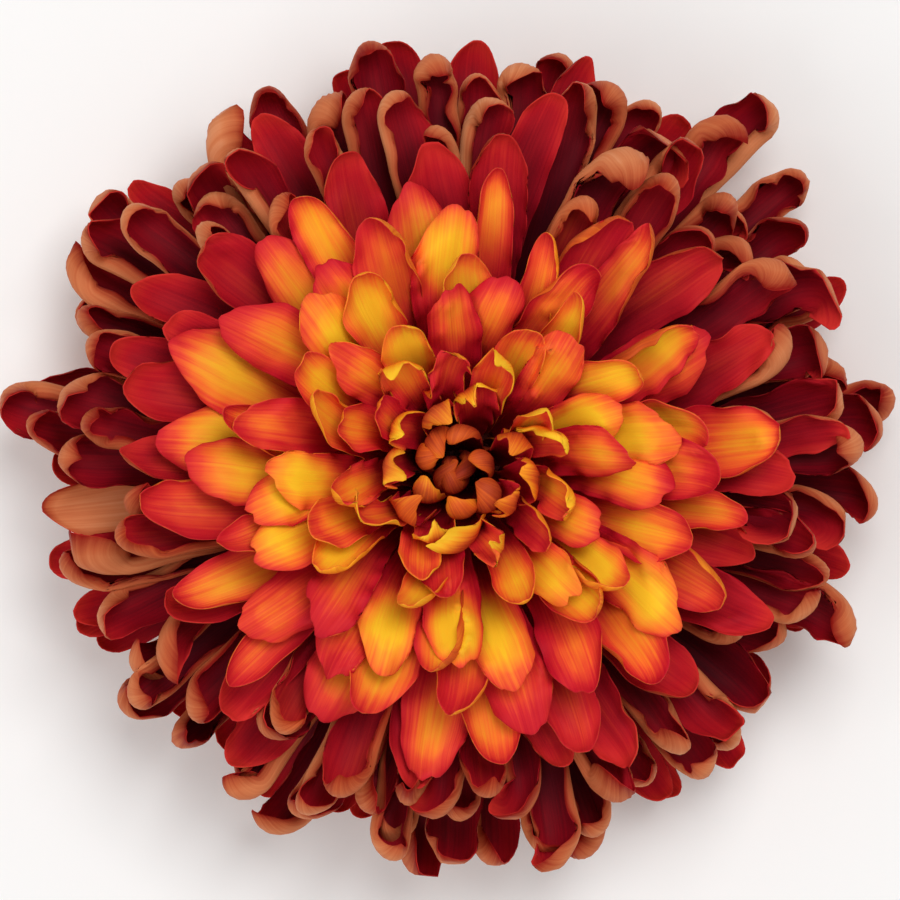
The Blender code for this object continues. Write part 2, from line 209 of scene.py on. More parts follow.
# The blade of a floret. v: how far along it a point is, from foot to tip; q: how far from midrib to rim; psi:
# where round the tip, in radians off the middle. A pair is where along v or q a thing sets in and is full.
BLADE_THICKNESS, RIM_THICKNESS = 0.26 * MM, 0.12 * MM
RIM_REVERSE = 0.12  # how much of the reverse's colour the rim has
FINENESS = ((24, 14),) * 2 + ((32, 18),) * 5 + ((38, 24),) * 4 + ((32, 20),) * 4  # faces along and across
ROW_SPACING = (0.42, 0.58)  # how far apart the rows of faces are: an even part, and one larger at the foot
FOLD_STEPS = np.linspace(0.0, 1.0, 25)
SPAN_STEPS = np.linspace(0.0, 1.0, 41)
FOOT_WIDTH = 0.22  # as a share of its widest
WIDEST, WIDENING = 0.68, 1.4  # where, and how late it widens
TAPER, TAPERING = 0.22, (0.66, 1.0)  # how much of its width it loses again
SWELLS = 1.7  # how often its width swells
FOOT_TROUGH, FOOT_FOLD, OPENING = 62.0, 60.0, (0.0, 0.35)  # its foot is a narrow gutter: in degrees
# Where the rim starts and ends to fold as its form says. The bright ones stay flat under the row above.
ROLLS, BRIGHT_ROLLS = (0.25, 0.72), (0.42, 0.84)
BRIGHT_ROWS = (7, 8, 9, 10)
NOTCH_WIDTH = 0.19  # in psi
FOLDS_APART, RUFFLES_APART = 1.7, 2.3  # of the two edges, in radians
RUFFLE_PHASE, TIP_RUFFLE_PHASE = 2.1, 0.6  # beside the floret's own phase
TIP_RUFFLES = 1.7  # for each lobe
RUFFLING = (0.3, 0.6)
GROOVE_WIDTH = 0.16  # as a share of the half width
GROOVING, GROOVE_FADING, GROOVE_LOST = (0.25, 0.6), (0.7, 1.0), 0.6  # the last: at the rim
TWIST_LATE = 1.5  # how late the twist grows
FLIPPING, TUCKING = (0.02, 0.3), (0.1, 0.5)
TUCK, CUP_TUCK, CUP_ROWS = 9.0, 19.0, (11, 12)  # of the left side, in degrees
ROOM = 1.15  # how wide florets and bracts may be, as a share of their step round the bloom
REST_CLEARANCE = 0.18 * MM
# Florets lie on the ones already laid, whose lay is kept as a map of heights from above.
LAID_ROWS = range(3, 12)  # the rows that lie on what is under them
MAP_CELL, MAP_HALF = 0.45 * MM, 140  # a cell, and how many from the middle to an edge
MAP_EMPTY = -1.0
LAY_GAP, LAY_DEEPEST = 0.32 * MM, 1.9 * MM  # how far apart they lie, and the most that one is lifted
LAYING = (0.3, 0.45)
LAY_ROUNDS = 10  # how widely the lift spreads over the floret

# The green parts under the florets, in mm: profiles as (radius, height).
STEM_PROFILE = ((0.0, 1.25), (1.3, 1.20), (2.2, 1.02), (2.62, 0.92), (2.78, 1.02), (2.8, 1.3), (2.8, 3.0))
STEM_PROFILE += ((2.86, 4.3), (2.97, 5.6), (2.8, 5.95), (0.0, 5.95))
NECK_PROFILE = ((0.0, 5.8), (2.7, 5.8), (2.98, 5.95), (3.5, 6.3), (4.6, 6.85), (6.1, 7.55))
CUP_UNDERSIDE = ((3.6, 5.25), (6.3, 6.6), (8.7, 7.9), (11.2, 9.4), (12.8, 10.0))
DOME_EDGE, DOME_POINTS = 128.0, 24  # where the dome starts, in degrees from its top
STEM_GRID, DOME_GRID = (60, 72), (84, 96)  # faces along the profile and round it
AXIS_FADE = 0.5  # how far from the axis the relief fades out
# Relief: heights, waves, and where along the profile it starts or ends.
RIB_HEIGHT, RIBS = 0.10, 9
RIBS_FROM, RIBS_TO, NECK_RIBS_TO = (0.24, 0.30), (0.66, 0.72), (0.14, 0.24)
WARP_HEIGHT, WARPS, WARP_TURN = 0.04, 5.0, 11.0  # the last, how far it turns along the profile
CUT_HEIGHT, CUT_WAVES, CUT_TO = 0.05, ((7.0, 9.0), (2.0, 4.0)), (0.20, 0.26)  # waves round, and outward
PIT_HEIGHT, PITS_ROUND, PITS_ALONG, PITS_FROM = 0.09, 24.0, 110.0, (0.3, 0.4)
# Rings of bracts, from the lowest up. tip: how far out their tips are; drop: how far they lie under the cup;
# turn: how far the ring is turned, as a share of the step between bracts.
Bracts = namedtuple("Bracts", "count tip width drop turn")
BRACT_RINGS = (
    Bracts(11, 8.4, 3.7, 0.50, 0.3),
    Bracts(13, 10.7, 4.3, 0.22, 0.0),
    Bracts(14, 12.5, 4.9, -0.05, 0.5),
)
BRACT_GRID = (16, 10)  # faces along and across
BRACT_FOOT = 3.6  # how far from the axis they start
BRACT_TIPS, BRACT_BENDS, BRACT_WANDER = (0.95, 1.03), (-0.35, 0.35), (-0.12, 0.12)  # how one strays
BRACT_BASE, SHOULDER, SHOULDER_ROUND, POINT_ROUND = 0.78, 0.42, 1.9, 0.8  # its outline: base, then shoulder
BRACT_POINT = 0.03  # its width at the tip, as a share of its widest
DROPPING, LIFTING = (0.0, 0.2), (0.8, 1.0)  # where its drop and its tip's lift are
BRACT_LIFTS = (-0.5, 0.1)
CUP_DEPTH, KEEL_DEPTH, KEEL_WIDTH, KEEL_FADE = 0.26, 0.12, 0.16, 0.7
BRACT_WAVE, BRACT_WAVES, BRACT_PHASES = 0.05, (9.0, 4.0), (0.0, 6.0)  # its waves along and across
BRACT_THICKNESS, BRACT_THINNING = 0.34, 0.24

# The slot of each row's florets, and how much each slot's skin shines.
SLOTS = ("crimson_floret",) * 7 + ("orange_floret",) * 5 + ("gold_floret",) * 3
SHINE = {"crimson_floret": 0.05, "orange_floret": 0.09, "gold_floret": 0.10}

# Colours, each with its place on its ramp.
# The lowest stops are the florets' own red foot, made brighter as painted glow of light through the petals in
# the shaded gaps.
BRIGHT_FACE = (
    (0, "#b61028"),
    (0.14, "#c6152a"),
    (0.30, "#d7272d"),
    (0.46, "#f04c2f"),
    (0.61, "#ff7a2c"),
    (0.78, "#ffa32a"),
    (0.97, "#ffc728"),
)
# The dark face's near-black lowest stops are partly the florets' own maroon and partly painted shade of the
# crevices.
DARK_FACE = ((0.05, "#460d18"), (0.26, "#660d1a"), (0.48, "#920f1f"), (0.74, "#b81a25"), (1, "#d9332d"))
# The reverse's palest, pinkish stops are partly the tan's own colour and partly painted highlight.
TAN_REVERSE = (
    (0, "#8c1812"),
    (0.2, "#a43b25"),
    (0.42, "#c5633c"),
    (0.66, "#da8354"),
    (0.85, "#e79d70"),
    (1, "#f1b193"),
)
GOLDEN_REVERSE = ((0.12, "#731813"), (0.36, "#a9371e"), (0.58, "#de5e20"), (0.82, "#ff9d21"), (1, "#ffc42a"))
LEAF = ((0.3, "#3f5220"), (0.5, "#5c6f2e"), (0.7, "#80904a"))
PAPER = ((0.35, "#6d4a28"), (0.65, "#b08d62"))
STEM_SKIN = ((0.3, "#46561f"), (0.5, "#65763a"), (0.7, "#8b9a58"))
STEM_CUT = ((0, "#d9d8ae"), (0.5, "#cbcc98"), (0.68, "#8f9a52"), (0.85, "#6c7434"), (1, "#5a4a26"))
DOME_SKIN = ((0.3, "#2c2a12"), (0.5, "#454a20"), (0.7, "#5d6631"))
# The receptacle's dome, seen only through the gaps of the eye: dark red-brown, as painted shade.
DOME_PAINTED_SHADE = ((0, "#5a1812"), (0.6, "#6e2216"), (1, "#45100d"))
FLOOR_PAPER = ((0, "#fbfaf9"), (1, "#fefefd"))

# Where on a floret its colours lie: along it, by v, or across it, by q, as (place, strength).
GOLD_ALONG = ((0.32, 0), (0.52, 0.32), (0.68, 0.80), (0.81, 1), (0.94, 0.9), (1, 0.74))
GOLD_ACROSS = ((0, 1), (0.45, 0.94), (0.8, 0.62), (1, 0.26))
# Along the dark face: near-black at the foot, partly painted shade under the row above, to crimson at the
# tip.
CRIMSON_ALONG = ((0.4, 0), (0.68, 0.22), (0.85, 0.5), (1, 0.72))
TAN_ACROSS = ((0.3, 0.62), (0.72, 0.58), (0.9, 0.3), (1, 0))
HEM_ACROSS, BACK_HEM_ACROSS = ((0.55, 0), (0.8, 0.35), (1, 1)), ((0.5, 0), (0.9, 0.62), (1, 0.7))
MIDDLE_HIGHLIGHT, MIDDLE_HIGHLIGHT_EDGE = 0.26, 0.75  # painted highlight down the middle, and how far to the rim it goes; beyond that it paints shade
GOLD_STRAY, TAN_STRAY = 0.20, 0.3  # from floret to floret
VEINS, CLOUDS = (13.0, 1.5, 90.0), (1.4, 5.0, 50.0)  # how fine across, along, and from floret to floret
CLOUD_SHARE = 0.8  # of the clouds beside the veins
BRIGHT_GRAIN, DARK_GRAIN, GOLDEN_GRAIN = 0.44, 0.42, 0.45  # how far veins and clouds shift a colour
TAN_VEINS, TAN_CLOUDS = 0.48, 0.25
GOLD_ON_DARK = 0.7  # how far a floret's gold shifts the dark face
VEIN_DEPTH, GRAIN_DEPTH = 0.12 * MM, 0.1 * MM
BRACT_LINES = (9.0, 1.0, 1.0)  # and how far the blotches shift them
LINE_SHARE, BLOTCH_SHARE = 0.6, 0.4
BUNDLE_SHARE, FLESH_AND_SHADE_STRAY = 0.4, 0.25  # how far its bundles colour the flesh and the dome's painted shade, and its rings wander
BARE_LOW, BARE_HIGH = 0.04, 0.06  # how wide the passage from skin to flesh is, and on the receptacle to its dome's painted shade

FLOOR_HALF = 2.5
LAMPS = (("key_light", (0.18, 0.3, 0.95), 0.45, 4.7), ("fill_light", (-0.45, -0.35, 0.75), 0.6, 2.2))

axis_low, axis_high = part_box("receptacle")
middle_x, middle_y = (axis_low.x + axis_high.x) / 2.0, (axis_low.y + axis_high.y) / 2.0
AXIS = np.array([middle_x, middle_y, axis_high.z - DOME_HEIGHT - DOME_RISE])

# What is known of a floret before it is built, and of the points of its blade. side and tip: which way a
# point is from the midrib, side below 0 on the left.
Plan = namedtuple("Plan", "curve angle lean width lies shape tint hem")
Spot = namedtuple("Spot", "psi u y v q side tip")


def smooth(low, high, value):
    """0 below low, 1 above high, and an even passage between."""
    t = np.clip((value - low) / (high - low), 0.0, 1.0)
    return t * t * (3.0 - 2.0 * t)


def unit(vectors):
    """Vectors at a length of 1."""
    return vectors / np.maximum(np.linalg.norm(vectors, axis=-1, keepdims=True), NO_LENGTH)


def bell(offset, width):
    """1 where the offset is 0, and less the further off, by the width."""
    return np.exp(-((offset / width) ** 2))


def degrees_off(angle, bearing):
    """How many degrees an angle in radians is off a bearing in degrees."""
    return (math.degrees(angle) - bearing + 180.0) % 360.0 - 180.0


def lowness(level):
    """1 for the lowest rows, fading to 0 for the round rows of the bloom's middle."""
    return min(1.0, max(0.0, (ROUND_ROW - level) / FADE_ROWS))


def outline_wave(angle, level):
    """How far florets reach at an angle round the bloom, as a share of their row's reach."""
    waves = (share * math.cos(times * (angle - math.radians(crest))) for times, share, crest in OUTLINE_WAVES)
    return 1.0 + lowness(level) * sum(waves)


def drift(waves, angle, level):
    """How far a row's florets drift at an angle, from -1 to 1."""
    return sum(share * math.sin(times * angle + turn * level) for times, share, turn in waves)


def gust(angle, level):
    """How far the wind has turned a row's florets at an angle, from 0 to 1."""
    if level < GUST_ROW:
        return 0.0
    return math.exp(-((degrees_off(angle, GUST_BEARING) / GUST_SPREAD) ** 2)) * lowness(level)


def along(angle):
    """The direction at an angle from straight up, as its outward and its upward part."""
    return Vector((math.sin(angle), math.cos(angle)))


def midrib(row, reach, tilt, curl):
    """The CAD's midrib: distance from the axis, height, direction and length so far, at each step."""
    seat = math.radians(row.seat)
    normal = Vector((math.sin(seat) / DOME_RADIUS, math.cos(seat) / DOME_RISE)).normalized()
    base = Vector((DOME_RADIUS * math.sin(seat), DOME_HEIGHT + DOME_RISE * math.cos(seat)))
    base += normal * FLORET_FOOT
    offset = Vector((row.reach * MM * reach, row.height * MM)) - base
    span = offset.length
    cos, sin = math.cos(tilt), math.sin(tilt)
    tip = base + Vector((offset.x * cos - offset.y * sin, offset.x * sin + offset.y * cos))
    leave = base + along(math.radians(row.launch)) * span * LAUNCH_PULL
    enter = tip - along(math.radians(row.arrive)) * span * ARRIVE_PULL
    arch = []
    for step in range(CURVE_STEPS + 1):
        t = step / CURVE_STEPS
        s = 1.0 - t
        arch.append(base * s**3 + leave * 3 * s * s * t + enter * 3 * s * t * t + tip * t**3)
    places, lengths, angles = [base], [0.0], []
    for step in range(CURVE_STEPS):
        piece = arch[step + 1] - arch[step]
        v = (step + 0.5) / CURVE_STEPS
        turn = max(0.0, (v - CURL_START) / (1.0 - CURL_START))
        angle = math.atan2(piece.x, piece.y) - math.radians(curl) * turn * turn
        angles.append(angle)
        places.append(places[-1] + along(angle) * piece.length)
        lengths.append(lengths[-1] + piece.length)
    joints = [angles[0]] + [(a + b) / 2.0 for a, b in zip(angles, angles[1:])] + [angles[-1]]
    return np.array([(p.x, p.y) for p in places]), np.array(joints), np.array(lengths)


def fold(q, trough, edge, roll):
    """Bend a straight half section: where a point at share q of it goes, sideways and up."""
    reach = q[..., None] * FOLD_STEPS
    angle = trough[..., None] * reach + (edge - trough)[..., None] * reach**roll
    ways = np.cos(angle), np.sin(angle)
    return [0.5 * (way[..., 1:] + way[..., :-1]).mean(axis=-1) * q for way in ways]


def span_of(trough, edge, roll):
    """How far a folded half section reaches sideways, as a share of its flat width."""
    flat = np.ones_like(SPAN_STEPS)
    sideways, _ = fold(SPAN_STEPS, flat * np.radians(trough), flat * np.radians(edge), roll)
    return float(sideways.max())


def blade_width(v):
    """A floret's half width along its length, as a share of its widest."""
    rise = FOOT_WIDTH + (1.0 - FOOT_WIDTH) * np.sin(0.5 * np.pi * np.minimum(v / WIDEST, 1.0)) ** WIDENING
    return rise * (1.0 - TAPER * smooth(*TAPERING, v))


def cells(points):
    """The cells of the map of heights that points are in."""
    spot = np.round((points[..., :2] - AXIS[:2]) / MAP_CELL).astype(int) + MAP_HALF
    spot = np.clip(spot, 1, 2 * MAP_HALF - 1)
    return spot[..., 0], spot[..., 1]


def lift_clear(points, v, laid):
    """Lift a floret where it would pierce the ones under it, and bend the rest along."""
    depth = laid[cells(points)] + LAY_GAP - points[..., 2]
    need = np.where((depth > 0.0) & (depth < LAY_DEEPEST), depth, 0.0) * smooth(*LAYING, v)
    rows, columns = need.shape
    lift = need
    for _ in range(LAY_ROUNDS):
        padded = np.pad(lift, 1, mode="edge")
        around = [padded[i : i + rows, j : j + columns] for i in range(3) for j in range(3)]
        lift = np.maximum(sum(around) / len(around), need)
    points[..., 2] += lift


def lay(points, laid):
    """Put a floret's heights on the map, each over the cells round it."""
    across, up = cells(points)
    for i in (-1, 0, 1):
        for j in (-1, 0, 1):
            np.maximum.at(laid, (across + i, up + j), points[..., 2])


def flat_blade(shape, half, straight_end, tip_length, fineness):
    """The grid of a floret laid flat: psi, the share u of the half width, and the length y from the foot."""
    rows, columns = fineness
    even, widening = ROW_SPACING
    steps = np.linspace(0.0, 1.0, rows + 1)
    share = 1.0 - (1.0 - steps) * (even + widening * (1.0 - steps))
    psi = np.linspace(-0.5 * np.pi, 0.5 * np.pi, columns + 1)
    u = np.sin(psi)[None, :] * np.ones((rows + 1, 1))
    top = straight_end + tip_length * np.maximum(np.cos(psi), 0.0) ** shape.sharp
    top = top + shape.lopsided * half * np.sin(2.0 * psi)
    for place, depth in shape.notches:
        top = top - depth * bell(psi - place, NOTCH_WIDTH)
    return psi, u, share[:, None] * top[None, :]


def round_tip(spot, at_sides, at_tip):
    """Pass evenly from what holds at the sides of a blade to what holds at its tip."""
    return at_sides * (1.0 - spot.tip**2) + at_tip * spot.tip**2


def section(shape, spot):
    """How a blade's half section bends at each point, sideways and up."""
    opened, rolled = smooth(*OPENING, spot.v), smooth(*shape.rolls, spot.v)
    trough = np.radians(shape.trough) * opened + np.radians(FOOT_TROUGH) * (1.0 - opened)
    turns = spot.y / shape.wavelength * math.tau
    wave = np.sin(turns + shape.phase + FOLDS_APART * np.sign(spot.u))
    tip_wave = np.sin(spot.psi * shape.lobes + shape.phase)[None, :]
    wobble = shape.wobble * round_tip(spot, wave, tip_wave)
    side_here = round_tip(spot, shape.side, shape.tip)
    edge = np.radians(side_here * (1.0 + shape.skew * spot.side) + wobble)
    edge = edge * rolled + np.radians(FOOT_FOLD) * (1.0 - rolled)
    return fold(spot.q, trough, edge, shape.roll)


def grooves(shape, spot):
    """How deep a blade's lengthwise grooves are."""
    ridges = np.zeros_like(spot.u)
    for place in shape.grooves:
        ridges += bell(spot.u - place, GROOVE_WIDTH)
    left = 1.0 - GROOVE_LOST * smooth(*GROOVE_FADING, spot.q)
    return shape.groove * ridges * smooth(*GROOVING, spot.v) * left


def ruffles(shape, spot):
    """How far a blade waves towards its rim."""
    turns = spot.y / shape.ripple * math.tau
    ripple = np.sin(turns + RUFFLE_PHASE * shape.phase + RUFFLES_APART * np.sign(spot.u))
    tip_ripple = np.sin(spot.psi * shape.lobes * TIP_RUFFLES + TIP_RUFFLE_PHASE * shape.phase)[None, :]
    return shape.ruffle * round_tip(spot, ripple, tip_ripple) * spot.q**3 * smooth(*RUFFLING, spot.v)


def in_bloom(plan, v, lateral, ahead, height):
    """Where a blade's points are in the bloom, by how far aside, along and off its midrib they are."""
    places, angles, lengths = plan.curve
    shape = plan.shape
    r, z, bearing = (np.interp(ahead, lengths, values) for values in (*places.T, angles))
    outward = np.array([math.cos(plan.angle), math.sin(plan.angle), 0.0])
    beside = np.array([-math.sin(plan.angle), math.cos(plan.angle), 0.0])
    upwards = np.array([0.0, 0.0, 1.0])
    face = -np.cos(bearing)[..., None] * outward + np.sin(bearing)[..., None] * upwards
    twist = shape.twist * v**TWIST_LATE
    twist = twist + shape.flip * smooth(*FLIPPING, v) + shape.tuck * smooth(*TUCKING, v)
    twist = twist[..., None]
    side_way = np.cos(twist) * beside + np.sin(twist) * face
    face_way = np.cos(twist) * face - np.sin(twist) * beside
    aside = plan.lean * v * v + shape.bend * np.sin(np.pi * v)
    middle = r[..., None] * outward + z[..., None] * upwards + aside[..., None] * beside
    points = middle + lateral[..., None] * side_way + height[..., None] * face_way + AXIS
    points[..., 2] = np.maximum(points[..., 2], REST_CLEARANCE)
    return points


def petal(plan, count, fineness, laid):
    """One floret of a row of count, as a closed thin blade: its vertices, faces and marks."""
    shape = plan.shape
    places, _, lengths = plan.curve
    half = 0.5 * plan.width / span_of(shape.trough, shape.side, shape.roll)
    bowl = 0.5 * plan.width * shape.point  # length of the tip as seen, once it is folded
    tip_length = bowl / span_of(shape.trough, shape.tip, shape.roll)
    straight_end = lengths[-1] - bowl

    psi, u, y = flat_blade(shape, half, straight_end, tip_length, fineness)
    straight = np.minimum(y, straight_end)
    forward = np.maximum(y - straight, 0.0) / tip_length
    v = y / (straight_end + tip_length)
    q = np.sqrt(u * u + forward * forward)
    safe = np.maximum(q, NO_SHARE)
    side = np.where(q > NO_SHARE, u / safe, 0.0)
    spot = Spot(psi, u, y, v, np.minimum(q, 1.0), side, forward / safe)

    sideways, upward = section(shape, spot)
    radius = np.interp(straight, lengths, places[:, 0])
    swell = 1.0 + shape.swell * np.sin(math.tau * v * SWELLS + shape.phase + spot.side)
    half_here = np.minimum(half * blade_width(v) * swell, ROOM * math.pi * radius / count)
    lateral = spot.side * half_here * sideways
    ahead = straight + spot.tip * tip_length * sideways
    height = np.sqrt((half_here * spot.side) ** 2 + (tip_length * spot.tip) ** 2) * upward
    waves = shape.heave * np.sin(math.tau * (v * shape.heaves + shape.phase))
    height = height - grooves(shape, spot) + ruffles(shape, spot) + waves * v * (1.0 - spot.q**2)
    points = in_bloom(plan, v, lateral, ahead, height)
    if plan.lies:
        lift_clear(points, v, laid)
    lay(points, laid)

    thickness = BLADE_THICKNESS + (RIM_THICKNESS - BLADE_THICKNESS) * spot.q**4
    vertices, faces, marks = close_blade(points, thickness, u, v, spot.q)
    marks.update(floret=np.tile(plan.tint, (len(vertices), 1)), hem=np.full(len(vertices), plan.hem))
    return vertices, faces, marks


def close_blade(points, thickness, u, v, q):
    """Give a surface its thickness: a face, a reverse, and a rounded rim between them."""
    normal = unit(np.cross(np.gradient(points, axis=0), np.gradient(points, axis=1)))
    offset = (normal * 0.5 * thickness[..., None]).reshape(-1, 3)
    rows, columns = points.shape[:2]
    index = np.arange(rows * columns).reshape(rows, columns)
    back = index + rows * columns
    face_quads = np.stack([index[:-1, :-1], index[1:, :-1], index[1:, 1:], index[:-1, 1:]], -1)
    back_quads = np.stack([back[:-1, :-1], back[:-1, 1:], back[1:, 1:], back[1:, :-1]], -1)
    loop = np.concatenate([index[:-1, 0], index[-1, :-1], index[:0:-1, -1], index[0, :0:-1]])
    flat = points.reshape(-1, 3)
    inner = np.clip(np.stack([loop // columns, loop % columns], -1), 1, [rows - 2, columns - 2])
    outward = unit(flat[loop] - points[inner[:, 0], inner[:, 1]])
    rim = flat[loop] + outward * np.linalg.norm(offset[loop], axis=-1, keepdims=True)
    rim_index = np.arange(len(loop)) + 2 * rows * columns
    after, rim_after = np.roll(loop, -1), np.roll(rim_index, -1)
    upper = np.stack([loop, rim_index, rim_after, after], -1)
    lower = np.stack([rim_index, loop + rows * columns, after + rows * columns, rim_after], -1)
    vertices = np.concatenate([flat + offset, flat - offset, rim])
    quads = np.concatenate([face_quads.reshape(-1, 4), back_quads.reshape(-1, 4), upper, lower])
    place = np.stack([v, u, q], -1).reshape(-1, 3)
    place = np.concatenate([place, place, place[loop]])
    reverse = np.repeat([0.0, 1.0, RIM_REVERSE], [len(flat), len(flat), len(loop)])
    return vertices, quads.tolist(), {"place": place, "reverse": reverse}


def shape_of(form, chance):
    """How one floret of a form is folded, twisted and notched."""

    def stray(label):
        return getattr(form, label, 1.0) * (MM if label in IN_MM else 1.0) * chance.uniform(*STRAY[label])

    def draw(*labels):
        for label in labels:
            setattr(shape, label, stray(label))

    shape = SimpleNamespace(sharp=form.sharp)
    draw("trough")
    shape.notches = [(place + stray("notch_place"), stray("notch")) for place in chance.choice(NOTCH_PLACES)]
    shape.grooves = [math.sin(place) for place, _ in shape.notches]
    draw("side", "tip", "roll")
    shape.skew = chance.uniform(-form.skew, form.skew)
    draw("wobble", "point", "wavelength", "phase", "lobes", "groove", "heave", "heaves")
    shape.twist = math.radians(chance.triangular(-form.twist, form.twist))
    draw("bend", "tuck", "ruffle", "ripple", "lopsided", "swell")
    return shape


def accent_at(level, angle, pitch):
    """The accent that falls on the floret at an angle of a row, if there is one."""
    near = 0.5 * math.degrees(pitch)
    found = (each for each in ACCENTS if each.row == level and abs(degrees_off(angle, each.bearing)) <= near)
    return next(found, None)


def row_plans(level):
    """What each floret of a row is to be."""
    row, look = ROWS[level], LOOKS[level]
    chance = random.Random(level + 1)
    manner = random.Random(MANNER_SEED + level)
    breeze = random.Random(BREEZE_SEED + level)
    pitch = math.tau / row.count
    plans = []
    for number in range(row.count):
        wander = chance.uniform(-WANDER, WANDER)
        reach = chance.uniform(SHORTEST, LONGEST)
        tilt = chance.uniform(-TILT, TILT)
        lean = chance.uniform(-LEAN, LEAN)
        place = number + 0.5 * (level % 2)
        angle = (place + wander) * pitch
        side = 1 if number % 2 else -1
        reach -= STAGGER * side
        tilt += STAGGER_TILT * side * lowness(level)
        tilt = math.radians(tilt + TILT_DRIFT * drift(TILT_WAVES, angle, level))
        lean += LEAN_DRIFT * drift(LEAN_WAVES, angle, level)
        angle += look.stray * pitch * manner.uniform(-1.0, 1.0)
        curl = row.curl * manner.uniform(*CURLS) + manner.uniform(-CURL_STRAY, CURL_STRAY)
        windy = gust(angle, level)
        reach *= 1.0 - GUST_SHORT * windy * breeze.random()
        curve = midrib(row, reach * outline_wave(angle, level), tilt, curl)
        odds = [share * GUST_FORMS.get(kind, 1.0) ** windy for kind, share in look.forms.items()]
        form = FORMS[manner.choices(list(look.forms), odds)[0]]
        shape = shape_of(form, manner)
        shape.tuck = math.radians(shape.tuck + (CUP_TUCK if level in CUP_ROWS else TUCK))
        shape.rolls = BRIGHT_ROLLS if level in BRIGHT_ROWS else ROLLS
        shape.twist += math.radians(GUST_TWIST) * windy * manner.uniform(*GUST_TWISTS)
        shape.flip = math.radians(GUST_FLIP) * windy * breeze.uniform(*GUST_FLIPS)
        broad, golden = manner.uniform(*BREADTHS), manner.uniform(*GOLDS)
        accent = accent_at(level, place * pitch, pitch)
        if accent:
            form = FORMS[accent.form]
            shape.trough, shape.side, shape.tip, shape.roll = form.trough, form.side, form.tip, form.roll
            shape.twist, shape.flip = math.radians(accent.twist), math.radians(accent.flip)
            broad, golden = accent.broad, accent.gold
        warm_stray = manner.uniform(-WARM_STRAY, WARM_STRAY) * (WARM_LEAST + look.warm)
        warm = min(1.0, max(0.0, look.warm + warm_stray))
        gold = min(MOST_GOLD, max(0.0, look.gold * golden))
        tint = (warm, gold, manner.random())
        hem = look.hem * manner.uniform(*HEMS)
        width = row.width * MM * form.broad * broad
        plans.append(Plan(curve, angle, lean, width, level in LAID_ROWS, shape, tint, hem))
    return plans


def join(shapes):
    """Join closed shapes, each of vertices, faces and marks (what each vertex is), into one."""
    count, faces = 0, []
    for vertices, shape_faces, _ in shapes:
        faces += [[corner + count for corner in face] for face in shape_faces]
        count += len(vertices)
    marks = {label: np.concatenate([shape[2][label] for shape in shapes]) for label in shapes[0][2]}
    return np.concatenate([shape[0] for shape in shapes]), faces, marks


def link(name, data):
    """An object of the scene from its data."""
    made = bpy.data.objects.new(name, data)
    bpy.context.scene.collection.objects.link(made)
    return made


def make_piece(name, shapes, material, node):
    """One object from closed shapes, in place of a CAD node. The marks become point attributes."""
    vertices, faces, marks = join(shapes)
    mesh = bpy.data.meshes.new(name)
    mesh.from_pydata(vertices, [], faces)
    mesh.validate()
    mesh.shade_smooth()
    for label, values in marks.items():
        kind, field = ("FLOAT", "value") if values.ndim == 1 else ("FLOAT_VECTOR", "vector")
        mark = mesh.attributes.new(label, kind, "POINT")
        mark.data.foreach_set(field, values.astype(np.float32).ravel())
    mesh.materials.append(material)
    piece = link(name, mesh)
    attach(piece, "root")
    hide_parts(node)


def turn_profile(profile, grid, relief):
    """Turn a profile, which starts and ends on the axis, round it. relief says how far a point stands out, by
    its share of the profile, its angle and its radius."""
    rings, steps = grid
    profile = np.array(profile)
    lengths = np.concatenate([[0.0], np.cumsum(np.linalg.norm(np.diff(profile, axis=0), axis=1))])
    share = np.linspace(0.0, 1.0, rings + 1)[:, None]
    radius, height = (np.interp(share, lengths / lengths[-1], values) for values in profile.T)
    angle = np.linspace(0.0, math.tau, steps, endpoint=False)[None, :]
    slope = np.arctan2(np.gradient(radius[:, 0]), np.gradient(height[:, 0]))[:, None]
    out = relief(share, angle, radius) * np.minimum(radius / AXIS_FADE, 1.0)
    wide = (radius + out * np.cos(slope)) * MM
    high = (height - out * np.sin(slope)) * MM
    points = np.stack([wide * np.cos(angle), wide * np.sin(angle), high + 0.0 * angle], -1)
    place = np.stack(np.broadcast_arrays(share, angle / math.tau, radius / profile[:, 0].max()), -1)
    index = 1 + np.arange((rings - 1) * steps).reshape(rings - 1, steps)
    after = np.roll(index, -1, axis=1)
    top = 1 + index.size
    faces = [[0, b, a] for a, b in zip(index[0], after[0])]
    faces += np.stack([index[:-1], after[:-1], after[1:], index[1:]], -1).reshape(-1, 4).tolist()
    faces += [[top, a, b] for a, b in zip(index[-1], after[-1])]
    vertices, places = (
        np.concatenate([each[0, :1], each[1:-1].reshape(-1, 3), each[-1, :1]]) for each in (points, place)
    )
    return vertices + AXIS, faces, {"place": places}


def stem_shape():
    """The cut stem: a dished end with pith in it, and ribs that fade out under the receptacle."""
    (round_a, out_a), (round_b, out_b) = CUT_WAVES

    def relief(share, angle, radius):
        ribs = RIB_HEIGHT * np.cos(RIBS * angle) + WARP_HEIGHT * np.sin(WARPS * angle + WARP_TURN * share)
        rough = CUT_HEIGHT * np.sin(round_a * angle + out_a * radius)
        rough = rough * np.sin(out_b * radius + round_b * angle)
        side = smooth(*RIBS_FROM, share) * (1.0 - smooth(*RIBS_TO, share))
        return ribs * side + rough * (1.0 - smooth(*CUT_TO, share))

    return turn_profile(STEM_PROFILE, STEM_GRID, relief)


